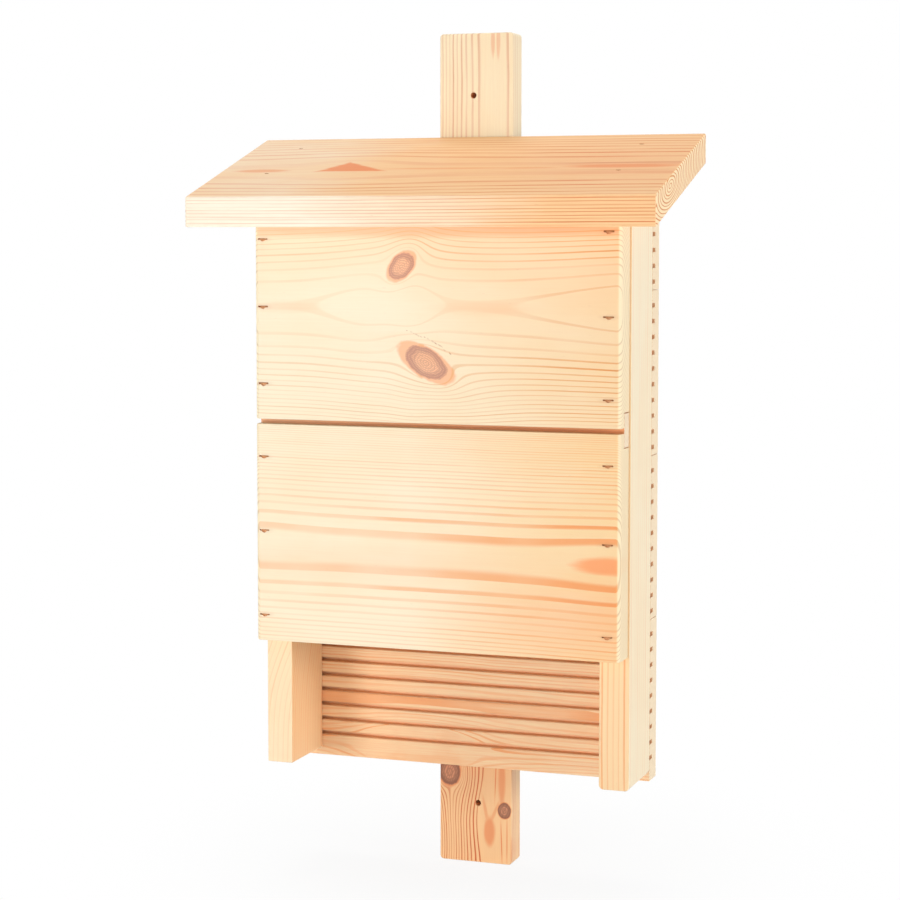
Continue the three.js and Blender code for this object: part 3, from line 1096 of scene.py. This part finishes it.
def staple_mesh(name, place):
    """A wire staple: its crown lies along X with its outer side at zero, legs along +Y."""
    radius = WIRE / 2
    half = CROWN_WIDTH / 2 - radius
    straight = STAPLE_LENGTH - radius - CROWN_BEND
    bend_depth = radius + CROWN_BEND
    bm = bmesh.new()
    lay = Matrix.Translation((-half, STAPLE_LENGTH, 0)) @ Matrix.Rotation(QUARTER_TURN, 4, "X")
    bmesh.ops.create_circle(bm, cap_ends=True, radius=radius, segments=10, matrix=lay)
    scale_leg(bm, bm.verts, -half, TIP_WIDTH, TIP_THICKNESS)
    edges = draw_on(bm, list(bm.edges), (0, -TIP_LENGTH, 0))
    wide = [vert for vert in bm.verts if vert.co.y < STAPLE_LENGTH - WIRE]
    scale_leg(bm, wide, -half, 1 / TIP_WIDTH, 1 / TIP_THICKNESS)
    edges = draw_on(bm, edges, (0, TIP_LENGTH - straight, 0))
    edges = bend_on(bm, edges, (-half + CROWN_BEND, bend_depth, 0))
    edges = draw_on(bm, edges, (2 * (half - CROWN_BEND), 0, 0))
    edges = bend_on(bm, edges, (half - CROWN_BEND, bend_depth, 0))
    edges = draw_on(bm, edges, (0, straight - TIP_LENGTH, 0))
    edges = draw_on(bm, edges, (0, TIP_LENGTH, 0))
    tip = list({vert for edge in edges for vert in edge.verts})
    scale_leg(bm, tip, half, TIP_WIDTH, TIP_THICKNESS)
    bmesh.ops.contextual_create(bm, geom=edges)
    bmesh.ops.transform(bm, matrix=place, verts=bm.verts)
    return mesh_from(bm, name, STAPLE_STEEL)


def make_staples(staples):
    for node, place in staples:
        name = f"{node}_wire"
        finish_piece(show(name, staple_mesh(name, place)), node)


def cross_arm(turn, lay):
    """One arm of the cross that the driver turns, narrowing into the head."""
    bm = bmesh.new()
    arm = bmesh.ops.create_cube(bm, size=1.0)["verts"]
    bmesh.ops.scale(bm, vec=(CROSS_WIDTH, CROSS_WIDTH, CROSS_ARM), verts=arm)
    deep = [vert for vert in arm if vert.co.y > 0]
    bmesh.ops.scale(bm, vec=CROSS_TAPER, verts=deep)
    bmesh.ops.transform(bm, matrix=lay @ Matrix.Rotation(turn, 4, "Y"), verts=arm)
    return mesh_from(bm, "cross arm", SCREW_STEEL)


def screw_profile():
    """Head, plain shank, thread and point, as radius and height."""
    head, shank = SCREW_HEAD / 2, SCREW_SHANK / 2
    profile = [(0, 0), (head - HEAD_EASE, 0), (head, HEAD_RIM / 2), (head, HEAD_RIM)]
    profile.append((shank, HEAD_HEIGHT))
    turn = HEAD_HEIGHT + PLAIN_SHANK
    thread_end = SCREW_LENGTH - SCREW_POINT
    while turn + THREAD_PITCH < thread_end:
        profile += [(shank * THREAD_CORE, turn), (shank, turn + THREAD_PITCH / 2)]
        turn += THREAD_PITCH
    return profile + [(shank * THREAD_CORE, thread_end), (0, SCREW_LENGTH)]


def make_screw(node, place):
    name = f"{node}_cross_head"
    bm = bmesh.new()
    spun_profile(bm, screw_profile(), 24)
    bmesh.ops.transform(bm, matrix=place, verts=bm.verts)
    piece = show(name, mesh_from(bm, name, SCREW_STEEL))
    for turn in (0, QUARTER_TURN):
        cut_away(piece, cross_arm(turn, place))
    finish_piece(piece, node)


# The object

def make_fronts():
    for upper, node in ((False, "front_board_lower"), (True, "front_board_upper")):
        board = "upper" if upper else "lower"
        staples = driven_in(staple_names(f"front_staple_{board}", 3))
        grain = upper_front_grain() if upper else lower_front_grain()
        stains = staple_stains(staples) + (resin_specks() if upper else [])
        look = pine(f"{board} front pine", node, LEVEL, stains=stains, **grain)
        make_front_board(f"{board}_front_board", node, look, staples, upper)
        make_staples(staples)


def upper_front_grain():
    return {
        "seed": 3.0,
        "early": "f6ebd0",
        "late": "e2a45e",
        "knot": "f6c49e",
        "knot_rim": "be8c7c",
        "sawn_ground": "fdecc8",
        "ring_strength": 0.92,
        "faint_lines": 0.42,
        # The fade warms the right end: partly painted fall-off of the light from the left.
        "fade": (-40, 150, 0.0, 0.88),
        "rings": {
            "Pith Across": 121.4, "Pith Depth": 33.8, "Lean Across": 0.008,
            "First Radius": 34.0, "Ring Width": 6.26, "Tightening": 0.0026, "Skew": 0.05,
            "Late Start": 0.7, "First Start": 0.84, "First Tone": 0.4, "Later Tone": 0.9,
            "Waver": 0.7, "Ripple": 0.25, "Unevenness": 0.15,
        },
        "lifts": [(3.5, -45.0, 38.0), (4.0, -18.0, 16.0), (5.6, 175.0, 75.0)],
        "knots": [
            knot(-25.7, 152.5, 12.3, 8.4, tilt=45, halo=1.2),
            knot(-5.6, 78.9, 18.5, 10.5, tilt=-30, halo=1.42),
        ],
        "flames_and_shade": [
            patch(-120, 120.5, 26, 4, 0.2, softness=0.6),
            patch(40, 121, 34, 5, 0.22, softness=0.6),
            # Painted shadow under the roof's overhang: a reddish, darker band along the top edge.
            patch(0, 181, 220, 6.5, 0.75, softness=0.6),
            patch(0, 166, 300, 24, 0.14, softness=1.0),
        ],
    }


def resin_specks():
    """The dotted line of dark resin over the lower knot."""
    specks = []
    count = 16
    for number in range(count):
        share = number / (count - 1)
        specks.append(patch(
            -21.0 + 34 * share + chance.uniform(-1.2, 1.2),
            103.0 - 9 * share - 7 * share ** 2 + chance.uniform(-0.7, 0.7),
            chance.uniform(0.5, 1.9),
            chance.uniform(0.25, 0.6),
            chance.uniform(0.15, 0.7),
            softness=0.5,
            tilt=-20 - 25 * share,
        ))
    return specks


def lower_front_grain():
    return {
        "seed": 8.0,
        "early": "f6ebd0",
        "late": "f0a970",
        "warm": "ffe5c4",
        "flame": "f8a878",
        "sawn_ground": "fdecc8",
        "ring_strength": 1.15,
        "faint_lines": 0.5,
        # The fade warms the right end: partly painted fall-off of the light from the left.
        "fade": (-20, 150, 0.1, 0.95),
        "rings": {
            "Pith Across": -68.0, "Pith Depth": 67.9, "Lean Across": -0.008,
            "First Radius": 70.0, "Ring Width": 3.9, "Tightening": 0.0048, "Skew": 0.054,
            "Late Start": 0.58, "First Tone": 0.95, "Later Tone": 0.55, "Waver": 0.7,
            "Ripple": 0.2, "Unevenness": 0.15,
        },
        "lifts": [(0.5, -150.0, 50.0), (0.9, 150.0, 50.0)],
        "flames_and_shade": [
            patch(-90, -78, 170, 12, 0.16, softness=1.0),
            patch(140, -71, 27, 6.5, 0.95, softness=0.35),
            patch(125, -114, 80, 26, 0.34, softness=1.0),
        ],
    }


def make_roof_board():
    node = "roof_board"
    staples = roof_staples()
    look = pine("roof pine", node, UP_THE_ROOF, roof_origin(node), **roof_grain())
    make_roof("roof_plank", node, look, staples)
    make_staples(staples)


def roof_origin(node):
    """Puts the grain's zero on the front arris of the roof's upper face."""
    low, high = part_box(node)
    arris = Vector((0, low.y, high.z - climb(low, high))) / MM
    turned = Matrix.Rotation(UP_THE_ROOF[0], 3, "X") @ arris
    return (0.0, -turned.y, -turned.z)


def roof_grain():
    return {
        "rise": math.tan(ROOF_SLOPE),
        "early": "fdf8e4",
        "late": "df8a4e",
        "warm": "ffd9b0",
        "flame": "ee9c6c",
        "sawn_ground": "fff0cc",
        "sawn_line": "dd9656",
        "sawn_rings": 2.2,
        # The fade warms the right end: partly painted fall-off of the light from the left.
        "fade": (-110, 130, -0.2, 0.98),
        "right_face_painted_light": 0.0,
        # Painted shade: the upper face, lit more weakly, is warmer than the front.
        "top_face_painted_shade": 0.72,
        "ring_strength": 0.92,
        "lines_on_top": 0.62,
        "faint_lines": 0.42,
        "streak": 0.24,
        "seed": 5.0,
        "rings": {
            "Pith Across": 68.0, "Pith Depth": 26.0, "First Radius": 27.0, "Ring Width": 2.05,
            "Stretch": 0.4, "Late Start": 0.64, "Ripple": 0.5, "Waver": 1.5, "Unevenness": 0.5,
        },
        "end_rings": {"Lift": 32.0, "Bend": -27.0, "Ring Width": 0.1, "First Radius": -25.0},
        "bulges": [knot(-76, 72, 30, 16)],
        "wedges": [{"Foot": (-73.5, 0, 65.5), "Half Foot": 29.5, "Height": 26.0, "Lean": -9.5}],
        "flames_and_shade": [
            patch(-150, 69, 22, 4, 0.6),
            patch(5, 71, 50, 2.2, 0.5, softness=0.5),
            patch(70, 70, 24, 2.2, 0.5, softness=0.5),
            patch(143, 73, 44, 5, 0.8, softness=0.4),
            patch(125, 78, 110, 45, 0.2, softness=1.0),
        ],
        "stains": [
            patch(142, 82, 46, 0.8, 0.5, softness=0.5),
            patch(140, 63, 48, 0.7, 0.3, softness=0.5),
        ],
    }


def make_rails():
    for side, foot_radius in (("left", LEFT_FOOT_RADIUS), ("right", RIGHT_FOOT_RADIUS)):
        node = f"rail_{side}"
        look = pine(f"{side} rail pine", node, UPRIGHT, **rail_grain(side))
        make_side_rail(f"{side}_side_rail", node, look, foot_radius)


def rail_grain(side):
    outward = 1 if side == "left" else -1
    rings = {
        "Pith Across": 40.0 * outward, "Pith Depth": -100.0, "First Radius": 20.0,
        "Ring Width": 3.0, "Late Start": 0.66, "Waver": 1.0, "Unevenness": 0.35,
    }
    if side == "left":
        return {
            "seed": 12.0,
            "early": "fbe3be",
            "ring_strength": 0.5,
            "fade": (-250, 250, 0.0, 0.0),
            # Painted shade: the inner face that looks right is warmer.
            "right_face_painted_light": 0.6,
            "rings": rings,
            "lifts": [(22.0, -120.0, 55.0)],
        }
    return {
        "seed": 21.0,
        "early": "fbefd2",
        "ring_strength": 0.48,
        "faint_lines": 0.4,
        "fade": (-250, 250, 1.0, 0.8),
        # Painted light: the outer face that looks right is paler.
        "right_face_painted_light": -0.9,
        "rings": rings,
    }


def make_long_batten():
    node = "hanging_batten"
    screws = driven_in([f"{board}_screw" for board in BACK_NODES], from_behind=True)
    look = pine("batten pine", node, UPRIGHT, **batten_grain())
    make_batten("long_batten", node, look, screws)
    for screw in screws:
        make_screw(*screw)


def batten_grain():
    return {
        "early": "fcefcd",
        "warm": "ffdfc4",
        "late": "d27e54",
        "flame": "ec9a6a",
        "knot": "cca694",
        "knot_rim": "886a60",
        "stain": "a86f4c",
        "fade": (-300, 150, 1.15, 0.0),
        "ring_strength": 1.25,
        "faint_lines": 0.36,
        "streak": 0.12,
        "seed": 15.0,
        "rings": {
            "Pith Across": -14.0, "Pith Depth": 33.0, "First Radius": 35.4, "Ring Width": 2.6,
            "Tightening": 0.002, "Late Start": 0.56, "Lean Across": 0.004, "Waver": 1.6,
            "Unevenness": 0.35,
        },
        "lifts": [(1.6, -300.0, 30.0)],
        "knots": [
            knot(-264, 24, 11, 9, halo=1.1, turns=3.2),
            knot(-292.7, -23.2, 6.6, 5.4, halo=1.1, turns=3.0),
        ],
        "flames_and_shade": [
            patch(332, -12.6, 13, 1.7, 0.5),
            patch(332, -17.0, 15, 1.6, 0.5),
            patch(-311, -10.5, 12, 4.6, 0.8),
            patch(-296, -7.5, 14, 1.3, 0.5, softness=0.5, tilt=12),
            patch(-297, -14, 13, 1.3, 0.5, softness=0.5, tilt=-22),
            patch(-268, -21.0, 20, 3.0, 0.7, softness=0.4),
            patch(-320, -20.8, 17, 0.5, 1.0, softness=0.5, tilt=2),
            patch(-262, -15.8, 22, 0.5, 1.0, softness=0.5, tilt=-2),
            patch(-318, -25.5, 18, 0.45, 0.9, softness=0.5),
            patch(-325, -29.0, 12, 0.45, 0.7, softness=0.5),
        ],
        "stains": [
            patch(-293.5, -23.2, 2.6, 2.2, 0.7, softness=0.7),
            # A broad darker patch at the top of the lower batten, just below the box.
            patch(-258, -4.0, 30, 40, 0.2, softness=0.9),
        ],
        "narrowings": [(-310, 80, -1.0)],
    }


def make_backs():
    for number, node in enumerate(BACK_NODES):
        staples = driven_in(staple_names(f"{node}_staple", 2), from_behind=True)
        look = pine(f"grooved pine {number + 1}", node, LEVEL, **back_grain(number, node))
        make_back_board(f"grooved_board_{number + 1}", node, look, staples)
        make_staples(staples)


def back_grain(number, node):
    low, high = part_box(node)
    level = (low.z + high.z) / 2 / MM
    return {
        "early": "ffe8c2",
        "late": "f4a66a",
        "ring_strength": 0.9,
        "faint_lines": 0.75,
        "streak": 0.5,
        # Painted shade: the warmth at the left end darkens the left of the opening.
        "fade": (-150, 150, 0.45, 0.05),
        "sawn_ground": "ffeed0",
        "sawn_depths": (0.5, 11),
        "seed": 30.0 + 4 * number,
        "rings": {
            "Pith Across": level + (-20, 14, 35, -12)[number],
            "Pith Depth": (35, 48, 20, 60)[number], "First Radius": 20.0, "Ring Width": 1.9,
            "Late Start": 0.5, "Ripple": 1.2, "Waver": 2.5, "Unevenness": 0.5,
        },
        "bulges": [knot(-45, -241, 46, 15)] if number == 0 else [],
    }


def make_strip():
    look = pine("strip pine", "gap_strip", LEVEL, **strip_grain())
    make_closing_strip("closing_strip", "gap_strip", look)


def strip_grain():
    return {
        "early": "f2bc92",
        # The strip's colours are darker and redder than the other pine's: painted shade of the slot
        # between the front boards that it is seen through.
        "late": "cc8660",
        "streak": 0.3,
        "seed": 50.0,
        "rings": {"Pith Across": 60.0, "Pith Depth": 30.0, "First Radius": 10.0},
    }


# Stage, light and camera

def make_floor():
    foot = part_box("hanging_batten")[0].z
    bm = bmesh.new()
    bmesh.ops.create_grid(bm, x_segments=2, y_segments=2, size=FLOOR_REACH)
    bmesh.ops.translate(bm, verts=bm.verts, vec=(0, 0, foot))
    floor = show("floor", mesh_from(bm, "floor", floor_paint()))


def seen_plainly(tree):
    """One for what the camera sees itself or in gloss and glass, else zero."""
    path = wires(tree.nodes.new("ShaderNodeLightPath").outputs)
    kinds = ("Is Camera Ray", "Is Glossy Ray", "Is Transmission Ray")
    return strongest([path[kind] for kind in kinds])


def put_out(tree, output, share, under, over):
    """Puts out one shader, with another laid over it by a share."""
    blend = add_node("MixShader", share, Wire(under.outputs[0]), Wire(over.outputs[0]))
    feed(tree.nodes[output].inputs["Surface"], Wire(blend.outputs[0]))


def floor_paint():
    """Pale paint that takes the object's shadow and is plain white further off."""
    material, paint, where = new_material("pale floor")
    paint.inputs["Base Color"].default_value = tint("f4f4f4")
    paint.inputs["Roughness"].default_value = 0.9
    x, y, _ = split(where["Object"])
    far = step_up(calc("SQRT", x * x + y * y), 0.03, 0.35, 0.9, 1.0)
    tree = material.node_tree
    white = tree.nodes.new("ShaderNodeEmission")
    put_out(tree, "Material Output", far * seen_plainly(tree), paint, white)
    return material


def make_world():
    world = bpy.data.worlds.new("studio")
    bpy.context.scene.world = world
    world.use_nodes = True
    tree = world.node_tree
    room = tree.nodes["Background"]
    room.inputs["Color"].default_value = tint("ffffff")
    room.inputs["Strength"].default_value = ROOM_LIGHT
    white = tree.nodes.new("ShaderNodeBackground")
    white.inputs["Color"].default_value = (1, 1, 1, 1)
    white.inputs["Strength"].default_value = 1.0
    put_out(tree, "World Output", seen_plainly(tree), room, white)


def make_softbox(name, place, width, height, power):
    """A softbox that looks at the middle of the bat box."""
    lamp = bpy.data.lights.new(name, "AREA")
    lamp.shape = "RECTANGLE"
    lamp.size = width
    lamp.size_y = height
    lamp.energy = power
    box = bpy.data.objects.new(name, lamp)
    bpy.context.scene.collection.objects.link(box)
    box.location = place
    aim = LIT_SPOT - Vector(place)
    box.rotation_euler = aim.to_track_quat("-Z", "Y").to_euler()


def make_camera():
    eye = bpy.data.cameras.new("camera")
    eye.lens = CAMERA_LENS
    eye.sensor_width = CAMERA_SENSOR
    eye.shift_y = CAMERA_SHIFT
    holder = bpy.data.objects.new("camera", eye)
    bpy.context.scene.collection.objects.link(holder)
    holder.location = CAMERA_PLACE
    holder.rotation_euler = (QUARTER_TURN - CAMERA_PITCH, 0, CAMERA_YAW)
    bpy.context.scene.camera = holder


make_camera()
make_fronts()
make_strip()
make_roof_board()
make_rails()
make_backs()
make_long_batten()
make_floor()
make_world()
for softbox in SOFTBOXES:
    make_softbox(*softbox)
bpy.context.scene.view_settings.view_transform = "Standard"
